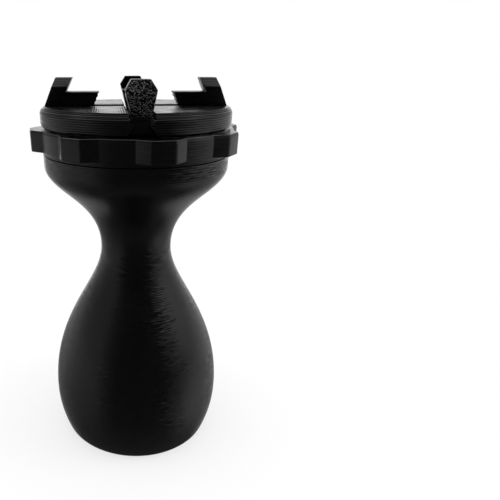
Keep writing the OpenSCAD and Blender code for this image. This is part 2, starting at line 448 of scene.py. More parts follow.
@dataclass(frozen=True)
class PrintedPla:
    """Satin black PLA filament, laid in layers by a printer.

    The eye gets a near-black satin with thin level lines on the walls, each line's groove painted
    darker as painted shade and its crown lighter as painted highlight, and reflections whose edges
    jump from layer to layer.
    """

    name: str
    colour: str = "#080809"
    roughness: float = 0.30
    # By how much sheen changes from place to place, as the nozzle slows and quickens
    uneven_sheen: Point2 = (-0.05, 0.07)
    # Real layers are 0.2 mm. They are drawn coarser, because they wouldn't show at this size.
    layer: float = 0.62
    layer_depth: float = 0.006
    # Size and strength of what bends the lines
    wander: float = 9.0
    bend: float = 2.2
    # Z of the face's normal from which the lines fade, and at which they are gone
    wall: Point2 = (0.80, 0.97)
    # How far each layer turns its face to one side or the other, over what length, and how many
    # times quicker this changes upwards
    sway: float = 0.2
    sway_size: float = 5.0
    sway_rise: float = 7.0
    # Patches in which the layers sway less: their size, their noise and the share that is left
    patch_size: float = 15.0
    patch_noise: Point2 = (0.40, 0.55)
    patch_share: float = 0.25
    # Layers that lean out over the one below lie truer: from which Z of the normal, and the share
    # left
    lean: Point2 = (-0.20, 0.05)
    lean_share: float = 0.10
    # The printer's fan blows from the left, and layers that it cools well lie truer too: how far
    # from the middle that stops changing, and the shares of the sway at the left and at the right
    fan_reach: float = 10.0
    fan_shares: Point2 = (0.5, 1.45)
    # How much the crown of a layer outshines the groove beside it; its colour changes twice as
    # much, painted darker in the groove as painted shade and lighter on the crown as painted
    # highlight
    gleam: float = 0.2

    def build(self) -> Material:
        """Builds the material.

        Returns:
            The node material.
        """
        material, add = new_material(self.name)
        place = add("ShaderNodeTexCoord")
        spot = place.outputs["Object"]
        across = add("ShaderNodeSeparateXYZ", [spot]).outputs["X"]
        facing = add("ShaderNodeSeparateXYZ", [place.outputs["Normal"]]).outputs["Z"]
        upright = add("ShaderNodeMath", [facing], operation="ABSOLUTE")
        wall = add("ShaderNodeMapRange", [upright, *self.wall, 1.0, 0.0])
        wave = bent_lines(add, spot, self.layer, self.wander, self.bend, 1.0)
        lines = add("ShaderNodeMath", [wave, wall], operation="MULTIPLY")
        bump = add("ShaderNodeBump", {
            "Strength": 1.0, "Distance": self.layer_depth * MM, "Height": lines})
        # Each layer faces a little to one side or the other, so a reflection's edge jumps from one
        # to the next
        quick = add("ShaderNodeMapping", {"Vector": spot, "Scale": (1.0, 1.0, self.sway_rise)})
        uneven = add("ShaderNodeTexNoise", {
            "Vector": quick, "Scale": 1 / (self.sway_size * MM), "Detail": 2.0, "Roughness": 0.5})
        patches = add("ShaderNodeTexNoise", {
            "Vector": spot, "Scale": 1 / (self.patch_size * MM), "Detail": 1.0})
        amount = add("ShaderNodeMapRange", [
            patches.outputs["Fac"], *self.patch_noise, self.patch_share * self.sway, self.sway],
            interpolation_type="SMOOTHSTEP")
        leaning = add("ShaderNodeMapRange", [facing, *self.lean, self.lean_share, 1.0])
        fan_reach = self.fan_reach * MM
        fanned = add("ShaderNodeMapRange", [across, -fan_reach, fan_reach, *self.fan_shares])
        turn = add("ShaderNodeMath", [uneven.outputs["Fac"], 2.0, -1.0], operation="MULTIPLY_ADD")
        for share in (amount, leaning, fanned):
            turn = add("ShaderNodeMath", [turn, share], operation="MULTIPLY")
        level = add("ShaderNodeVectorMath", [(0.0, 0.0, 1.0), bump], operation="CROSS_PRODUCT")
        tilt = add("ShaderNodeVectorMath", {0: level, "Scale": turn}, operation="SCALE")
        swayed = add("ShaderNodeVectorMath", [bump, tilt], operation="ADD")
        normal = add("ShaderNodeVectorMath", [swayed], operation="NORMALIZE")
        sheen = add("ShaderNodeMapRange", [
            uneven.outputs["Fac"], *NOISE_SPAN,
            *(self.roughness + shift for shift in self.uneven_sheen)])
        colour = linear(self.colour)
        look = {"Base Color": colour, "Roughness": sheen, "IOR": PLA_IOR, "Normal": normal}
        if self.gleam:
            # Painted shade and painted highlight: the colour is darkened in each layer's groove and
            # lightened on its crown
            painted_groove_shade = add("ShaderNodeMapRange", [
                lines, -1.0, 1.0, 1 - 2 * self.gleam, 1 + 2 * self.gleam])
            look["Base Color"] = add("ShaderNodeVectorMath", {
                0: colour[:3], "Scale": painted_groove_shade}, operation="SCALE")
            look["Specular IOR Level"] = add("ShaderNodeMapRange", [
                lines, -1.0, 1.0, PLAIN_SHINE * (1 - self.gleam), PLAIN_SHINE * (1 + self.gleam)])
        add("ShaderNodeOutputMaterial", {"Surface": add("ShaderNodeBsdfPrincipled", look)})
        return material


@dataclass(frozen=True)
class StringySkin:
    """PLA where sloping layers have sagged and crept over one another, as on the jaws' outer ends.

    The eye gets a leathery black skin of short worm-like ridges that each catch a glint, with the
    gaps between them painted black as painted shade.
    """

    name: str
    colour: str = "#0d0d0e"
    # Gaps between the ridges are painted black as painted shade, because light hardly gets out of
    # them again: their colour and shine, both darkened as painted shade, and the heights of a ridge
    # between which the shine comes up
    gap_colour: str = "#020202"
    gap_shine: float = 0.02
    gap_edge: Point2 = (0.1, 0.8)
    roughness: float = 0.20
    # Pitch and depth of the ridges, and size and strength of what makes them wander
    pitch: float = 0.75
    depth: float = 0.34
    wander: float = 2.0
    bend: float = 40.0
    # Height of the wave from which a ridge rises, and at which it is full
    rise: Point2 = (-0.5, 0.6)
    # Breaks that cut the ridges into short lengths: their size, their noise and what they leave
    break_size: float = 0.8
    break_noise: Point2 = (0.38, 0.54)
    break_share: float = 0.1

    def build(self) -> Material:
        """Builds the material.

        Returns:
            The node material.
        """
        material, add = new_material(self.name)
        spot = add("ShaderNodeTexCoord").outputs["Object"]
        wave = bent_lines(add, spot, self.pitch, self.wander, self.bend, 2.0)
        ridge = add("ShaderNodeMapRange", [wave, *self.rise, 0.0, 1.0],
                    interpolation_type="SMOOTHSTEP")
        breaks = add("ShaderNodeTexNoise", {
            "Vector": spot, "Scale": 1 / (self.break_size * MM), "Detail": 1.0})
        whole = add("ShaderNodeMapRange", [
            breaks.outputs["Fac"], *self.break_noise, self.break_share, 1.0],
            interpolation_type="SMOOTHSTEP")
        worms = add("ShaderNodeMath", [ridge, whole], operation="MULTIPLY")
        bump = add("ShaderNodeBump", {
            "Strength": 1.0, "Distance": self.depth * MM, "Height": worms})
        # Painted shade: the colour darkens from the ridges into the gaps between them
        tint_with_gap_shade = add("ShaderNodeMix", {
            0: worms, 6: linear(self.gap_colour), 7: linear(self.colour)}, data_type="RGBA")
        glint = add("ShaderNodeMapRange", [worms, *self.gap_edge, self.gap_shine, 1.0])
        shader = add("ShaderNodeBsdfPrincipled", {
            "Base Color": tint_with_gap_shade.outputs[2], "Roughness": self.roughness, "IOR": PLA_IOR,
            "Specular IOR Level": glint, "Normal": bump})
        add("ShaderNodeOutputMaterial", {"Surface": shader})
        return material


@dataclass(frozen=True)
class TurnedMetal:
    """Metal turned on a lathe: blackened steel of the screw, bare brass of its insert.

    The eye gets thin bright circles round the axis in a dark or yellow metal.
    """

    name: str
    colour: str
    roughness: float
    # Width, depth and strength of the tool's marks
    mark: float = 0.25
    mark_depth: float = 0.01
    mark_strength: float = 0.6
    # Size of the stains, and how far they shift the roughness
    stain: float = 1.5
    stain_shift: Point2 = (-0.08, 0.12)

    def build(self) -> Material:
        """Builds the material.

        Returns:
            The node material.
        """
        material, add = new_material(self.name)
        spot = add("ShaderNodeTexCoord").outputs["Object"]
        flat = add("ShaderNodeVectorMath", [spot, (1.0, 1.0, 0.0)], operation="MULTIPLY")
        reach = add("ShaderNodeVectorMath", [flat], operation="LENGTH").outputs["Value"]
        turns = add("ShaderNodeMath", [reach, 2 * math.pi / (self.mark * MM)], operation="MULTIPLY")
        marks = add("ShaderNodeMath", [turns], operation="SINE")
        bump = add("ShaderNodeBump", {
            "Strength": self.mark_strength, "Distance": self.mark_depth * MM, "Height": marks})
        stains = add("ShaderNodeTexNoise", {
            "Vector": spot, "Scale": 1 / (self.stain * MM), "Detail": 3.0})
        dull = add("ShaderNodeMapRange", [
            stains.outputs["Fac"], 0.0, 1.0,
            *(self.roughness + shift for shift in self.stain_shift)])
        shader = add("ShaderNodeBsdfPrincipled", {
            "Base Color": linear(self.colour), "Metallic": 1.0, "Roughness": dull, "Normal": bump})
        add("ShaderNodeOutputMaterial", {"Surface": shader})
        return material


@dataclass(frozen=True)
class Finishes:
    """Every finish of the handle, built once."""

    grip: Material
    ring: Material
    plate: Material
    lines: Material
    jaw: Material
    skin: Material
    screw: Material
    insert: Material

    @classmethod
    def build(cls) -> Finishes:
        """Builds all the finishes.

        Returns:
            The set of materials.
        """
        return cls(
            grip=PrintedPla("pla_grip", roughness=0.14, layer=0.70, layer_depth=0.014, sway=0.38,
                            sway_size=3.2, gleam=0.30).build(),
            ring=PrintedPla("pla_ring", roughness=0.19, layer=0.66, sway=0.08, gleam=0.28).build(),
            plate=PrintedPla("pla_plate", roughness=0.20, layer_depth=0.020, sway=0.10,
                             gleam=0.48).build(),
            lines=PrintedPla(
                "pla_laid_lines", "#0c0c0d", roughness=0.20, sway=0.0, gleam=0.0).build(),
            # The jaws' colour is painted darker than the other PLA, as painted shade on their sides
            jaw=PrintedPla("pla_jaw", "#030303", sway=0.10, gleam=0.3).build(),
            skin=StringySkin("pla_stringy_skin").build(),
            screw=TurnedMetal("black_oxide_steel", "#3b3b3e", 0.38).build(),
            insert=TurnedMetal("turned_brass", "#c9a25c", 0.30).build(),
        )


# ---------------------------------------------------------------- repeated things


def laid_lines_tree() -> NodeTree:
    """Tree that lays one printed bead at each point of a mesh.

    The points carry their bead's length. Each bead is a flattened rod from front to back, half sunk
    in the face that it lies on.

    Returns:
        The tree, with inputs for the bead's width, height and material.
    """
    tree, add, given = new_tree("laid_lines", ("Bead Width", "Bead Height"))
    length = add("GeometryNodeInputNamedAttribute", {"Name": "run_length"}, data_type="FLOAT")
    path = add("GeometryNodeCurvePrimitiveLine", {"Start": (0, -0.5, 0), "End": (0, 0.5, 0)})
    section = add("GeometryNodeCurvePrimitiveCircle", {"Resolution": BEAD_SIDES, "Radius": 0.5})
    rod = add("GeometryNodeCurveToMesh", {
        "Curve": path, "Profile Curve": section, "Fill Caps": True})
    double = add("ShaderNodeMath", [given.outputs["Bead Height"], 2.0], operation="MULTIPLY")
    bead_size = add("ShaderNodeCombineXYZ", [given.outputs["Bead Width"], 1.0, double])
    bead = add("GeometryNodeTransform", {"Geometry": rod, "Scale": bead_size})
    run = add("ShaderNodeCombineXYZ", [1.0, length, 1.0])
    laid = add("GeometryNodeInstanceOnPoints", {
        "Points": given.outputs["Geometry"], "Instance": bead, "Scale": run})
    end_tree(add, given, laid)
    return tree


def scroll_tree() -> NodeTree:
    """Tree that sweeps a ridge along a flat spiral.

    Returns:
        The tree, with inputs for the spiral's radii and turns and the ridge's section.
    """
    tree, add, given = new_tree("scroll_ridge", (
        "Start Radius", "End Radius", "Turns", "Start Angle", "Ridge Width", "Ridge Height",
        "Floor"))
    spiral = add("GeometryNodeCurveSpiral", {
        "Resolution": RIDGE_STEPS, "Rotations": given.outputs["Turns"], "Height": 0.0,
        "Reverse": True, "Start Radius": given.outputs["Start Radius"],
        "End Radius": given.outputs["End Radius"]})
    section = add("GeometryNodeCurvePrimitiveQuadrilateral", {
        "Width": given.outputs["Ridge Width"], "Height": given.outputs["Ridge Height"]})
    ridge = add("GeometryNodeCurveToMesh", {
        "Curve": spiral, "Profile Curve": section, "Fill Caps": True})
    half = add("ShaderNodeMath", [given.outputs["Ridge Height"], 0.5, given.outputs["Floor"]],
               operation="MULTIPLY_ADD")
    lift = add("ShaderNodeCombineXYZ", {"Z": half})
    heading = add("ShaderNodeCombineXYZ", {"Z": given.outputs["Start Angle"]})
    placed = add("GeometryNodeTransform", {
        "Geometry": ridge, "Translation": lift, "Rotation": heading})
    end_tree(add, given, placed)
    return tree


def grown(piece: Object, tree: NodeTree, values: dict[str, Any]) -> Object:
    """Runs a Geometry Nodes tree on an object and keeps the plain mesh that it makes.

    Args:
        piece: The object that the tree starts from.
        tree: The tree.
        values: Value for each of its named inputs.

    Returns:
        The same object with the finished mesh.
    """
    modifier = piece.modifiers.new(tree.name, "NODES")
    modifier.node_group = tree
    for item in tree.interface.items_tree:
        if item.in_out == "INPUT" and item.name in values:
            modifier[item.identifier] = values[item.name]
    return baked(piece)


@dataclass(frozen=True)
class Run:
    """One straight bead, by its middle and its length in millimetres."""

    middle: Point3
    length: float


@dataclass(frozen=True)
class LaidLines:
    """The close parallel lines on a face that the printer fills last."""

    # Real lines are 0.45 mm apart. They are drawn coarser, because they wouldn't show at this size.
    pitch: float = 0.72
    height: float = 0.07
    # Largest angle between a bead's faces that still looks smooth
    smooth: float = 50.0

    def build(self, name: str, runs: Iterable[Run], tree: NodeTree, material: Material) -> Object:
        """Lays the beads.

        Args:
            name: Name of the piece.
            runs: Where the beads lie.
            tree: The tree that lays them.
            material: Their finish.

        Returns:
            The piece.
        """
        runs = list(runs)
        mesh = bpy.data.meshes.new(name)
        mesh.from_pydata([tuple(c * MM for c in run.middle) for run in runs], [], [])
        lengths = mesh.attributes.new("run_length", "FLOAT", "POINT")
        lengths.data.foreach_set("value", [run.length * MM for run in runs])
        piece = grown(mesh_object(name, mesh), tree, {
            "Bead Width": self.pitch * MM, "Bead Height": self.height * MM, "Material": material})
        shade(piece, self.smooth)
        return piece


# ---------------------------------------------------------------- sub-assemblies


@dataclass
class Stack:
    """Heights at which the pieces of the handle meet, in millimetres.

    The ring's own weight lays it nearly on its seat, so most of its play shows above it.
    """

    seat: float = 105.4
    ring_gap: float = 0.12
    ring_h: float = 7.55
    plate_gap: float = 0.73
    plate_h: float = 5.6

    @property
    def ring_z(self) -> float:
        """Underside of the ring."""
        return self.seat + self.ring_gap

    @property
    def ring_top(self) -> float:
        """Upper face of the ring."""
        return self.ring_z + self.ring_h

    @property
    def plate_z(self) -> float:
        """Underside of the plate."""
        return self.ring_top + self.plate_gap

    @property
    def plate_top(self) -> float:
        """Upper face of the plate."""
        return self.plate_z + self.plate_h


@dataclass
class Grip:
    """The waisted hand grip with its spigot and hexagonal key."""

    stack: Stack
    foot_r: float = 28.5
    foot_edge: float = 0.8
    belly_r: float = 31.3
    belly_z: float = 16.6
    neck_r: float = 12.3
    neck_z: float = 73.2
    bowl_r: float = 29.9
    bowl_drop: float = 3.7
    bowl_edge: float = 0.2
    # Shares of the rise over which the outline stays upright, at its lower and its upper end
    belly_holds: Point2 = (0.52, 0.25)
    neck_holds: Point2 = (0.59, 0.27)
    spigot_r: float = 8.0
    key_af: float = 10.0
    key_h: float = 1.4
    bore_r: float = 2.35
    bore_depth: float = 6.05
    pilot_r: float = 1.55
    pilot_depth: float = 9.2
    facets: int = 192
    rows: int = 56

    def outline(self) -> list[Point2]:
        """Outline of the grip's outside, from the foot's centre to the spigot's top.

        Returns:
            Radius and height of each point.
        """
        seat = self.stack.seat
        belly, neck = (self.belly_r, self.belly_z), (self.neck_r, self.neck_z)
        bowl = (self.bowl_r, seat - self.bowl_drop)
        foot_r, foot_z = self.foot_r, self.foot_edge
        swell, rise = (self.belly_r - foot_r) / 3, (self.belly_z - foot_z) / 3
        points = [(0.0, 0.0), (foot_r - self.foot_edge, 0.0)]
        points += bezier([(foot_r, foot_z), (foot_r + 2 * swell, foot_z + rise),
                          (self.belly_r, self.belly_z - rise), belly], self.rows // 2)
        for (low_r, low_z), (high_r, high_z), (hold_low, hold_high) in (
                (belly, neck, self.belly_holds), (neck, bowl, self.neck_holds)):
            rise = high_z - low_z
            points += bezier([(low_r, low_z), (low_r, low_z + hold_low * rise),
                              (high_r, high_z - hold_high * rise), (high_r, high_z)], self.rows)[1:]
        points += [(self.bowl_r, seat - self.bowl_edge), (self.bowl_r - self.bowl_edge, seat),
                   (self.spigot_r, seat), (self.spigot_r, self.stack.plate_z)]
        return points

    def _key_radius(self, angle: float) -> float:
        """Radius of the hexagonal key at an angle."""
        sixth = math.pi / 3
        return self.key_af / 2 / math.cos((angle + sixth / 2) % sixth - sixth / 2)

    def build(self, finishes: Finishes) -> Object:
        """Builds the grip as one turned shape with the key on top.

        Args:
            finishes: The set of materials.

        Returns:
            The piece, riding on the handle.
        """
        angles = turn_steps(self.facets)
        key_top = self.stack.plate_z + self.key_h
        step_z, pilot_z = key_top - self.bore_depth, key_top - self.pilot_depth
        loops = [ring_of(max(r, POLE_R), z, angles) for r, z in self.outline()]
        for radius, z in ((self._key_radius, self.stack.plate_z), (self._key_radius, key_top),
                          (self.bore_r, key_top), (self.bore_r, step_z), (self.pilot_r, step_z),
                          (self.pilot_r, pilot_z), (POLE_R, pilot_z)):
            loops.append(ring_of(radius, z, angles))
        piece = mesh_object("grip", as_mesh(skin(loops)))
        dress(piece, finishes.grip)
        shade(piece)
        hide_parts("grip_body")
        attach(piece, "handle")
        return piece


@dataclass
class ScrollRing:
    """The lobed ring with the flat spiral that drives the jaws."""

    stack: Stack
    corner_r: float = 33.6
    valley_r: float = 30.9
    lobes: int = 8
    lobe_w: float = 6.7
    lobe_root_w: float = 14.2
    lobe_turn: float = 9.8
    lip_r: float = 30.0
    lip_h: float = 1.35
    lip_edge: float = 0.1
    edge: float = 0.12
    upper_slope: float = 0.20
    upper_h: float = 0.75
    corner_round: float = 0.6
    corner_steps: int = 3
    valley_steps: int = 8
    bore_r: float = 8.08
    boss_wall: float = 1.2
    recess_r: float = 28.6
    scroll_depth: float = 2.4
    # How far the boss and the ridge stand above the ring, and the ridge's play in the recess
    proud: float = 0.1
    scroll_play: float = 0.2
    pitch: float = 4.0
    ridge_w: float = 1.7
    # Turn at which the ridge starts, and how many pitches inside the first tooth turn zero lies
    start_turns: float = 0.25
    start_pitches: float = 1.5
    tooth_r: float = 14.93
    layer: float = 0.41
    # Depth of the groove between two layers, and its half width as a share of a layer
    groove: float = 0.018
    groove_share: float = 0.22
    # Largest angles that still look smooth, on the ring and on its ridge
    smooth: float = 25.0
    ridge_smooth: float = 40.0

    def _corners(self) -> list[Point2]:
        """Outline of the ring, one lobe after another, with the lobes' outer corners rounded.

        Returns:
            The points in turn.
        """
        half, root = self.lobe_w / 2, self.lobe_root_w / 2
        flat_r = math.sqrt(self.corner_r ** 2 - half ** 2)
        root_r = math.sqrt(self.valley_r ** 2 - root ** 2)
        lobe = [(root_r, -root), (flat_r, -half), (flat_r, half), (root_r, root)]
        per_corner = self.corner_steps + 1
        lobe[1:3] = rounded(lobe, self.corner_round, self.corner_steps)[per_corner:-per_corner]
        root_angle = math.atan2(root, root_r)
        free = 2 * math.pi / self.lobes - 2 * root_angle
        points: list[Point2] = []
        for start in turn_steps(self.lobes):
            turn = math.radians(self.lobe_turn) + start
            cos, sin = math.cos(turn), math.sin(turn)
            points += [(x * cos - y * sin, x * sin + y * cos) for x, y in lobe]
            points += [polar(self.valley_r, turn + root_angle + free * k / self.valley_steps)
                       for k in range(1, self.valley_steps)]
        return points

    def _body(self) -> BMesh:
        """The ring without its spiral, with a fine groove between the layers of its wall.

        Returns:
            The solid.
        """
        corners = self._corners()
        angles = [math.atan2(y, x) for x, y in corners]
        foot, top = self.stack.ring_z, self.stack.ring_top
        low = foot + self.lip_h

        def inset(amount: float, z: float) -> list[Vector]:
            """The outline at a height, drawn in by an amount."""
            return [Vector((*polar(math.hypot(*corner) - amount, angle), z)) * MM
                    for corner, angle in zip(corners, angles)]

        loops = [ring_of(self.lip_r - self.lip_edge, foot, angles),
                 ring_of(self.lip_r, foot + self.lip_edge, angles),
                 ring_of(self.lip_r, low, angles), inset(self.edge, low)]
        wall = top - low - self.edge - self.upper_h
        layers = round(wall / self.layer)
        height = wall / layers
        for i in range(layers):
            z = low + self.edge + height * i
            loops += [inset(self.groove, z), inset(0.0, z + self.groove_share * height),
                      inset(0.0, z + (1 - self.groove_share) * height)]
        loops += [inset(self.groove, top - self.upper_h), inset(self.upper_slope, top - self.edge),
                  inset(self.upper_slope + self.edge, top)]
        floor, boss = top - self.scroll_depth, self.bore_r + self.boss_wall
        boss_top = top + self.proud
        for r, z in ((self.recess_r, top), (self.recess_r, floor), (boss, floor), (boss, boss_top),
                     (self.bore_r, boss_top), (self.bore_r, foot)):
            loops.append(ring_of(r, z, angles))
        return skin(loops, closed=True)

    def build(self, finishes: Finishes) -> list[Object]:
        """Builds the ring and its spiral.

        Args:
            finishes: The set of materials.

        Returns:
            Both pieces, riding on the ring's body.
        """
        body = mesh_object("ring_body", as_mesh(self._body()))
        dress(body, finishes.ring)
        shade(body, self.smooth)
        start_r = self.tooth_r + self.pitch * (self.start_turns - self.start_pitches)
        end_r = self.recess_r - self.scroll_play
        scroll = mesh_object("ring_scroll", bpy.data.meshes.new("ring_scroll"))
        scroll = grown(scroll, scroll_tree(), {
            "Start Radius": start_r * MM, "End Radius": end_r * MM,
            "Turns": (end_r - start_r) / self.pitch, "Start Angle": 2 * math.pi * self.start_turns,
            "Ridge Width": self.ridge_w * MM,
            "Ridge Height": (self.scroll_depth + self.proud) * MM,
            "Floor": (self.stack.ring_top - self.scroll_depth) * MM, "Material": finishes.ring})
        shade(scroll, self.ridge_smooth)
        for piece in (body, scroll):
            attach(piece, "ring")
        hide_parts("scroll_ring")
        return [body, scroll]


@dataclass
class TopPlate:
    """The round plate with four undercut slots and its laid lines."""

    stack: Stack
    radius: float = 30.0
    round_r: float = 2.0
    lower_edge: float = 0.15
    # Height of the ledges on the rounding and of the layers below it, each with the share of its
    # height that its lips take, and where on its height a ledge meets the rounding
    ledge: float = 0.4
    ledge_lip: float = 0.24
    ledge_meets: float = 0.4
    layer: float = 0.62
    layer_lip: float = 0.08
    slot_w: float = 7.2
    slot_lip: float = 2.0
    neck_w: float = 4.6
    neck_h: float = 0.3
    tail_w: float = 7.4
    slot_deep_r: float = 9.23
    hole_r: float = 1.55
    sink_r: float = 2.85
    head_sink: float = 0.2
    head_rim: float = 0.2
    pocket_af: float = 10.1
    pocket_h: float = 1.45
    border: float = 0.4
    # Gap between the laid lines and what they stop at, and the shortest line that is laid
    line_gap: float = 0.1
    line_least: float = 0.5
    lines: LaidLines = field(default_factory=LaidLines)
    facets: int = 240
    smooth: float = 35.0

    @property
    def field_r(self) -> float:
        """Radius of the field that the laid lines fill."""
        return self.radius - self.round_r - self.border

    def _wall(self) -> list[Point2]:
        """Steps of the wall, from the top down.

        Returns:
            Radius of each point and its depth below the face.
        """
        points: list[Point2] = []

        def step(deep: float, height: float, inset: float, lip: float) -> None:
            """Adds a step at a depth, drawn in by an inset, with a lip above and below."""
            r = self.radius - inset
            points.extend([(r - lip, deep), (r, deep + lip), (r, deep + height - lip),
                           (r - lip, deep + height)])

        ledges = round(self.round_r / self.ledge)
        height = self.round_r / ledges
        for i in range(ledges):
            drop = self.round_r - height * (i + self.ledge_meets)
            step(height * i, height, self.round_r - math.sqrt(self.round_r ** 2 - drop ** 2),
                 self.ledge_lip * height)
        low = self.stack.plate_h - self.round_r
        layers = round(low / self.layer)
        for i in range(layers):
            step(self.round_r + low * i / layers, low / layers,
                 self.lower_edge if i == layers - 1 else 0.0, self.layer_lip * self.layer)
        return points

    def slot_outline(self, play: float = 0.0) -> list[Point2]:
        """Outline of a slot across its run, depth downwards negative.

        Args:
            play: Amount by which each side is drawn in.

        Returns:
            The points in turn.
        """
        taper = self.slot_lip + (self.slot_w - self.neck_w) / 2
        neck_end = taper + self.neck_h
        tail = neck_end + (self.tail_w - self.neck_w) / 2
        side = [(width / 2 - play, z) for width, z in (
            (self.slot_w, PAST), (self.slot_w, -self.slot_lip), (self.neck_w, -taper),
            (self.neck_w, -neck_end), (self.tail_w, -tail),
            (self.tail_w, -self.stack.plate_h - PAST))]
        return side + [(-x, z) for x, z in reversed(side)]

    def _line_runs(self) -> list[Run]:
        """Beads from front to back, stopped at the border and at the slots, which meet in a cross.

        Returns:
            The beads of the whole field.
        """
        top = self.stack.plate_top - self.lines.height
        half_line = self.lines.pitch / 2
        near = self.slot_w / 2 + self.line_gap
        runs: list[Run] = []
        x = near + half_line
        while x + half_line < self.field_r:
            far = math.sqrt(self.field_r ** 2 - (x + half_line) ** 2) - self.line_gap
            if far - near > self.line_least:
                middle, length = (near + far) / 2, far - near
                runs += [Run((a * x, b * middle, top), length) for a in (-1, 1) for b in (-1, 1)]
            x += self.lines.pitch
        return runs

    def build(self, finishes: Finishes, tree: NodeTree) -> list[Object]:
        """Builds the plate and its laid lines.

        Args:
            finishes: The set of materials.
            tree: The tree that lays lines.

        Returns:
            Both pieces, riding on the handle.
        """
        angles = turn_steps(self.facets, 0.5)
        top, low = self.stack.plate_top, self.stack.plate_z
        field_z = top - self.lines.height
        cone_top = top - self.slot_lip - self.head_sink - self.head_rim
        inner = [(self.field_r, top), (self.field_r, field_z), (self.sink_r, field_z),
                 (self.sink_r, cone_top), (self.hole_r, cone_top - (self.sink_r - self.hole_r)),
                 (self.hole_r, low)]
        outline = list(reversed(inner)) + [(r, top - deep) for r, deep in self._wall()]
        loops = [ring_of(r, z, angles) for r, z in outline]
        piece = mesh_object("plate_body", as_mesh(skin(loops, closed=True)))
        reach = self.radius + 2 * PAST
        slot = self.slot_outline()
        # A slot's straight mouth runs on to the opposite slot's, but its undercut stops short of it
        cuts = [(side, slot, self.slot_deep_r) for side in Side]
        cuts += [(side, slot[:2] + slot[-2:], -reach) for side in (Side.RIGHT, Side.BACK)]
        for side, section, start in cuts:
            cut = prism(section, lambda p, s: (s, p[0], top + p[1]), start, reach)
            cut.transform(side.turn)
            combine(piece, cut, "DIFFERENCE")
        pocket_r = self.pocket_af / 2 / math.cos(math.pi / 6)
        pocket = skin([
            ring_of(pocket_r, z, turn_steps(6)) for z in (low - PAST, low + self.pocket_h)])
        combine(piece, pocket, "DIFFERENCE")
        dress(piece, finishes.plate)
        shade(piece, self.smooth)
        lines = self.lines.build("plate_lines", self._line_runs(), tree, finishes.lines)
        for each in (piece, lines):
            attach(each, "handle")
        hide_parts("top_plate")
        return [piece, lines]


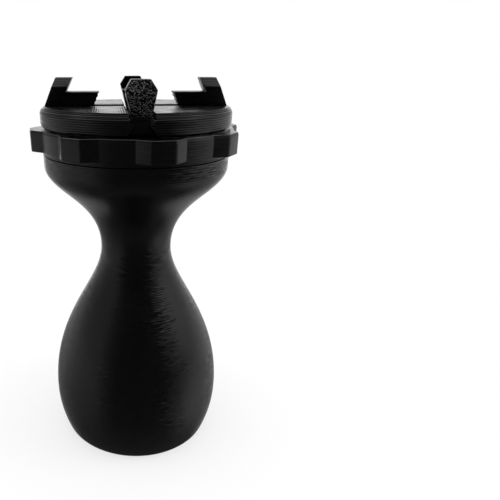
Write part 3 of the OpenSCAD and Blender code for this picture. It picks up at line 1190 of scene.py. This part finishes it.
@dataclass
class Jaw:
    """One stepped jaw with its leaning finger, undercut tail and two teeth."""

    side: Side
    plate: TopPlate
    ring: ScrollRing
    inner_r: float = 11.3
    step_h: float = 4.0
    height: float = 8.0
    root_r: float = 21.5
    hook: float = 2.1
    top_r: float = 24.4
    outer_r: float = 28.6
    heel_drop: float = 0.8
    width: float = 8.6
    wide_z: float = 5.4
    top_w: float = 5.2
    undercut: float = 1.6
    serrations: int = 3
    serration: float = 0.6
    tail_inner_r: float = 14.13
    play: float = 0.25
    glide: float = 0.3
    tip_play: float = 0.4
    tooth_t: float = 1.5
    tooth_w: float = 5.0
    tooth_sink: float = 0.1
    tooth_steps: int = 8
    teeth: int = 2
    edge: float = 0.16
    smooth: float = 35.0
    # Faces that the printer left stringy: least lean outwards, lean upwards, least height
    stringy_out: float = 0.45
    stringy_up: Point2 = (0.15, 0.75)
    stringy_z: float = -2.0
    # Margins of the laid lines at their ends and beside them
    border: float = 0.55
    line_gap: float = 0.3
    lines: LaidLines = field(default_factory=lambda: LaidLines(pitch=0.66, height=0.05))

    def _side_outline(self) -> list[Point2]:
        """Outline seen from the side.

        Returns:
            Distance from the axis and height above the plate of each point.
        """
        bottom = self.play - self.plate.stack.plate_h
        bite = (self.step_h - self.glide) / self.serrations
        points: list[Point2] = []
        for i in range(self.serrations):
            r, z = self.inner_r + self.undercut * i / self.serrations, self.step_h - bite * i
            points += [(r, z), (r + self.serration, z - bite / 2)]
        points += [(self.inner_r + self.undercut, self.glide), (self.tail_inner_r, self.glide),
                   (self.tail_inner_r, bottom), (self.outer_r, bottom),
                   (self.outer_r, -self.heel_drop), (self.top_r, self.height),
                   (self.root_r - self.hook, self.height), (self.root_r, self.step_h)]
        return points

    def _end_outline(self) -> list[Point2]:
        """Outline seen from the end.

        Returns:
            Distance across and height above the plate of each point.
        """
        slot = self.plate.slot_outline(self.play)[2:5]
        side = [(self.top_w / 2, self.height), (self.width / 2, self.wide_z), *slot,
                (slot[-1][0], self.play - self.plate.stack.plate_h)]
        return side + [(-x, z) for x, z in reversed(side)]

    def _tooth(self, middle: float) -> BMesh:
        """One tooth, a short piece of a round wall.

        Args:
            middle: Distance of its middle from the axis.

        Returns:
            The tooth as a solid.
        """
        floor = self.plate.stack.ring_top - self.ring.scroll_depth + self.tip_play
        top = self.plate.stack.plate_z + self.play + self.tooth_sink
        spread = math.asin(self.tooth_w / 2 / middle)
        sweep = [spread * (2 * k / self.tooth_steps - 1) for k in range(self.tooth_steps + 1)]
        outline = [polar(middle + self.tooth_t / 2, a) for a in sweep]
        outline += [polar(middle - self.tooth_t / 2, a) for a in reversed(sweep)]
        return prism(outline, lambda p, s: (*p, s), floor, top)

    def _line_runs(self) -> list[Run]:
        """Beads across the step and across the finger's top, for the right-hand jaw.

        Returns:
            The beads.
        """
        top = self.plate.stack.plate_top - self.lines.height
        waist, waist_z = self.plate.slot_outline(self.play)[2]
        share = (self.step_h - waist_z) / (self.wide_z - waist_z)
        step_half = waist + (self.width / 2 - waist) * share
        runs: list[Run] = []
        for inner, outer, half, z in (
                (self.inner_r, self.root_r, step_half, self.step_h),
                (self.root_r - self.hook, self.top_r, self.top_w / 2, self.height)):
            start, room = inner + self.line_gap, outer - inner - 2 * self.line_gap
            count = round(room / self.lines.pitch)
            runs += [Run((start + room * (k + 0.5) / count, 0.0, top + z), 2 * (half - self.border))
                     for k in range(count)]
        return runs

    def _body(self, finishes: Finishes) -> Object:
        """The jaw without its teeth, where the right-hand jaw is.

        Args:
            finishes: The set of materials.

        Returns:
            The dressed piece.
        """
        top = self.plate.stack.plate_top
        body = mesh_object(f"{self.side.node}_body", as_mesh(prism(
            self._side_outline(), lambda p, s: (p[0], s, top + p[1]), -self.width, self.width)))
        combine(body, prism(self._end_outline(), lambda p, s: (s, p[0], top + p[1]), 0.0,
                            self.outer_r + 2 * PAST), "INTERSECT")
        bevel = body.modifiers.new("edge", "BEVEL")
        bevel.width = self.edge * MM
        bevel.segments = 2
        bevel.limit_method = "ANGLE"
        bevel.angle_limit = math.radians(self.smooth)
        baked(body)
        dress(body, finishes.jaw, finishes.skin)
        lowest, highest = self.stringy_up
        for polygon in body.data.polygons:
            lean = polygon.normal
            if (lean.x > self.stringy_out and lowest < lean.z < highest
                    and polygon.center.z > (top + self.stringy_z) * MM):
                polygon.material_index = 1
        shade(body, self.smooth)
        return body

    def build(self, finishes: Finishes, tree: NodeTree) -> list[Object]:
        """Builds the jaw where its side of the plate is.

        Args:
            finishes: The set of materials.
            tree: The tree that lays lines.

        Returns:
            The jaw's pieces, riding on its body.
        """
        name = self.side.node
        body = self._body(finishes)
        first = self.ring.tooth_r + self.ring.pitch * self.side.value / 4
        both = bmesh.new()
        for i in range(self.teeth):
            tooth = as_mesh(self._tooth(first + self.ring.pitch * i))
            both.from_mesh(tooth)
            bpy.data.meshes.remove(tooth)
        teeth = mesh_object(f"{name}_teeth", as_mesh(both))
        dress(teeth, finishes.jaw)
        shade(teeth)
        lines = self.lines.build(f"{name}_lines", self._line_runs(), tree, finishes.lines)
        pieces = [body, teeth, lines]
        for piece in pieces:
            piece.data.transform(self.side.turn)
            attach(piece, self.side.body)
        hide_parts(name)
        return pieces


@dataclass
class Fasteners:
    """The centre screw and its threaded insert, whose solids stay as they are."""

    def build(self, frame: dict[str, Any], finishes: Finishes) -> list[Object]:
        """Gives both solids their metals.

        Args:
            finishes: The set of materials.

        Returns:
            The two CAD nodes.
        """
        screw, insert = frame["nodes"]["centre_screw"], frame["nodes"]["threaded_insert"]
        dress(screw, finishes.screw)
        dress(insert, finishes.insert)
        return [screw, insert]


# ---------------------------------------------------------------- studio


def grey(level: float) -> tuple[float, float, float, float]:
    """Linear grey of a brightness."""
    return level, level, level, 1.0


@dataclass(frozen=True)
class Studio:
    """A white room with a pale floor, soft lamps, the camera and a graded screen all round."""

    # The camera stands close in front, a little above the jaws and tilted down
    distance: float = 157.6
    height: float = 130.6
    tilt: float = 25.25
    azimuth: float = -3.3
    lens: float = 33.72
    film: float = 36.0
    shift: Point2 = (0.228, 0.073)
    # Nearest and farthest distance in metres that the camera sees
    sight: Point2 = (0.005, 20.0)
    # Strength of the room's own light, where it isn't seen
    soft_level: float = 0.55
    # The floor's radius, and the share of plain white that it shows near the foot, which grows to
    # all between two distances in metres
    floor_r: float = 1600.0
    floor_fade: Point2 = (0.03, 0.14)
    floor_least: float = 0.70
    floor_facets: int = 96
    # Lamps: name, place in metres, size in metres, watts; all of them aim at the belly's top
    lamp_aim: Point3 = (0.0, 0.0, 0.07)
    lamps: tuple[tuple[str, Point3, Point2, float], ...] = (
        ("left_lamp", (-0.42, 0.02, 0.16), (0.34, 0.5), 0.9),
        ("right_lamp", (0.40, -0.06, 0.18), (0.22, 0.5), 1.2),
        ("top_lamp", (0.0, 0.06, 0.55), (0.5, 0.4), 1.6))
    # The screen stands over a dark cloth on the ground, under a white ceiling
    screen_r: float = 600.0
    screen_bottom: float = -1100.0
    screen_top: float = 900.0
    screen_facets: int = 120
    ground_level: float = 0.075
    ceiling_level: float = 2.0
    # Heights in metres between which its parts fade: up from below the ring's reflections, out
    # above them, into the cloth, into the cloth behind the handle, into the ceiling
    ring_from: Point2 = (-0.26, -0.16)
    ring_to: Point2 = (0.08, 0.15)
    ground: Point2 = (-0.82, -0.10)
    rear_ground: Point2 = (-0.24, -0.04)
    ceiling: Point2 = (0.64, 0.84)
    # How far back the cloth behind the handle starts, and how much of it shows
    rear: Point2 = (0.40, 0.50)
    rear_share: float = 0.66
    # Brightness of the screen: angle from straight behind the camera, left negative; at the ring's
    # height; elsewhere. It is dark in front, brighter at the sides and white behind the handle.
    shades: tuple[Point3, ...] = (
        (-180, 1.0, 1.0), (-158, 1.0, 1.0), (-148, 0.48, 0.30), (-120, 0.52, 0.31),
        (-90, 0.42, 0.28), (-72, 0.36, 0.30), (-60, 0.34, 0.28), (-44, 0.13, 0.11),
        (-30, 0.04, 0.04), (0, 0.04, 0.01), (36, 0.03, 0.05), (41, 0.08, 0.24),
        (57, 0.18, 0.42), (62, 0.26, 0.72), (78, 0.46, 0.90), (90, 0.55, 0.72),
        (112, 0.64, 0.53), (138, 0.60, 0.50), (152, 1.0, 1.0), (180, 1.0, 1.0))

    def _camera(self) -> None:
        """Sets up the camera at the photograph's viewing angle."""
        data = bpy.data.cameras.new("camera")
        data.lens = self.lens
        data.sensor_width = self.film
        data.shift_x, data.shift_y = self.shift
        data.clip_start, data.clip_end = self.sight
        turn = math.radians(self.azimuth)
        camera = bpy.data.objects.new("camera", data)
        camera.location = Vector((*polar(self.distance, turn - math.pi / 2), self.height)) * MM
        camera.rotation_euler = Euler((math.radians(90 - self.tilt), 0.0, turn))
        bpy.context.scene.collection.objects.link(camera)
        bpy.context.scene.camera = camera

    def _room(self) -> None:
        """Makes the room, plain white where it is seen, also in a reflection, and softly bright."""
        world = bpy.data.worlds.new("room")
        bpy.context.scene.world = world
        world.use_nodes = True
        world.node_tree.nodes.clear()
        add = partial(add_node, world.node_tree)
        path = add("ShaderNodeLightPath")
        seen = path.outputs["Is Camera Ray"]
        for ray in ("Is Transmission Ray", "Is Glossy Ray"):
            seen = add("ShaderNodeMath", [seen, path.outputs[ray]], operation="MAXIMUM")
        level = add("ShaderNodeMix", {0: seen, 2: self.soft_level, 3: 1.0})
        add("ShaderNodeOutputWorld", [
            add("ShaderNodeBackground", {"Color": linear("#ffffff"), "Strength": level})])

    def _screen_material(self) -> Material:
        """Builds the screen's graded cloth.

        Returns:
            The glowing material.
        """
        material, add = new_material("graded_cloth")
        parts = add("ShaderNodeSeparateXYZ", [add("ShaderNodeTexCoord").outputs["Object"]])
        height, back = parts.outputs["Z"], parts.outputs["Y"]
        front = add("ShaderNodeMath", [back, -1.0], operation="MULTIPLY")
        angle = add("ShaderNodeMath", [parts.outputs["X"], front], operation="ARCTAN2")
        start, end = self.shades[0][0], self.shades[-1][0]
        where = add("ShaderNodeMapRange", [angle, math.radians(start), math.radians(end), 0.0, 1.0])
        ramps = []
        for column in (2, 1):
            ramp = add("ShaderNodeValToRGB", [where])
            stops = ramp.color_ramp.elements
            while len(stops) < len(self.shades):
                stops.new(1.0)
            for stop, shades in zip(stops, self.shades):
                stop.position = (shades[0] - start) / (end - start)
                stop.color = grey(shades[column])
            ramps.append(ramp)
        # The ring, bowl and neck reflect what stands from a little above them to well below them
        ring_from, ring_to, upper = (
            add("ShaderNodeMapRange", [height, *edges, *ends], interpolation_type="SMOOTHSTEP")
            for edges, ends in ((self.ring_from, (0.0, 1.0)), (self.ring_to, (1.0, 0.0)),
                                (self.ceiling, (0.0, 1.0))))
        near_ring = add("ShaderNodeMath", [ring_from, ring_to], operation="MULTIPLY")
        shade_of = add("ShaderNodeMix", {0: near_ring, 6: ramps[0], 7: ramps[1]}, data_type="RGBA")
        # Behind the handle the cloth comes up to its foot
        ground = add("ShaderNodeMapRange", [height, *self.ground, 1.0, 0.0])
        under = add("ShaderNodeMapRange", [height, *self.rear_ground, 1.0, 0.0])
        rear = add("ShaderNodeMapRange", [back, *self.rear, 0.0, self.rear_share])
        hidden = add("ShaderNodeMath", [rear, under], operation="MULTIPLY")
        dark = add("ShaderNodeMath", [ground, hidden], operation="MAXIMUM")
        level = add("ShaderNodeMix", {
            0: dark, 6: shade_of.outputs[2], 7: grey(self.ground_level)}, data_type="RGBA")
        # The white ceiling shows over the screen, whose upper edge is out of focus
        whole = add("ShaderNodeMix", {
            0: upper, 6: level.outputs[2], 7: grey(self.ceiling_level)}, data_type="RGBA")
        cloth = add("ShaderNodeEmission", {"Color": whole.outputs[2], "Strength": 1.0})
        add("ShaderNodeOutputMaterial", {"Surface": cloth})
        return material

    def _screen(self) -> None:
        """Stands a curved screen round the handle, dark in its middle in front.

        Only reflections show it: it gives black plastic its dark front between two brighter sides.
        """
        bm = bmesh.new()
        radius = self.screen_r * MM
        bmesh.ops.create_cone(
            bm, cap_ends=True, segments=self.screen_facets, radius1=radius, radius2=radius,
            depth=(self.screen_top - self.screen_bottom) * MM,
            matrix=Matrix.Translation((0.0, 0.0, (self.screen_top + self.screen_bottom) / 2 * MM)))
        lid = [face for face in bm.faces if face.normal.z > UPRIGHT]
        bmesh.ops.delete(bm, geom=lid, context="FACES_ONLY")
        screen = mesh_object("screen", as_mesh(bm))
        dress(screen, self._screen_material())
        screen.visible_camera = False
        screen.visible_diffuse = False
        screen.visible_transmission = False
        screen.visible_shadow = False

    def _floor(self) -> None:
        """Makes the pale floor, which keeps the object's shadow and fades into the white room."""
        bm = bmesh.new()
        bmesh.ops.create_circle(
            bm, cap_ends=True, segments=self.floor_facets, radius=self.floor_r * MM)
        floor = mesh_object("floor", as_mesh(bm))
        material, add = new_material("white_paper")
        spot = add("ShaderNodeTexCoord").outputs["Object"]
        away = add("ShaderNodeVectorMath", [spot], operation="LENGTH").outputs["Value"]
        fade = add("ShaderNodeMapRange", [away, *self.floor_fade, self.floor_least, 1.0],
                   interpolation_type="SMOOTHSTEP")
        seen = add("ShaderNodeLightPath").outputs["Is Camera Ray"]
        shown = add("ShaderNodeMath", [fade, seen], operation="MULTIPLY")
        paper = add("ShaderNodeBsdfDiffuse", {"Color": linear("#f4f4f4")})
        glow = add("ShaderNodeEmission", {"Color": linear("#ffffff"), "Strength": 1.0})
        add("ShaderNodeOutputMaterial", {
            "Surface": add("ShaderNodeMixShader", [shown, paper, glow])})
        dress(floor, material)
        floor.visible_glossy = False

    def _lamps(self) -> None:
        """Hangs a soft lamp on each side and one overhead, all out of the reflections."""
        for name, place, size, watts in self.lamps:
            data = bpy.data.lights.new(name, "AREA")
            data.shape = "RECTANGLE"
            data.size, data.size_y = size
            data.energy = watts
            lamp = bpy.data.objects.new(name, data)
            lamp.location = place
            lamp.visible_glossy = False
            aim = Vector(self.lamp_aim) - Vector(place)
            lamp.rotation_euler = aim.to_track_quat("-Z", "Y").to_euler()
            bpy.context.scene.collection.objects.link(lamp)

    def build(self) -> None:
        """Builds the studio."""
        for make in (self._camera, self._room, self._screen, self._floor, self._lamps):
            make()
        bpy.context.scene.view_settings.view_transform = "Standard"


def main() -> None:
    """Loads the frame, dresses each sub-assembly and sets up the studio."""
    logging.basicConfig(level=logging.INFO, format="%(message)s")
    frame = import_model()
    finishes = Finishes.build()
    stack = Stack()
    lines_tree = laid_lines_tree()
    plate = TopPlate(stack)
    ring = ScrollRing(stack)
    pieces = [Grip(stack).build(finishes)]
    pieces += ring.build(finishes)
    pieces += plate.build(finishes, lines_tree)
    for side in Side:
        pieces += Jaw(side, plate, ring).build(finishes, lines_tree)
    pieces += Fasteners().build(frame, finishes)
    for piece in pieces:
        LOG.info("%s: %d faces", piece.name, len(piece.data.polygons))
    Studio().build()


if __name__ == "__main__":
    main()
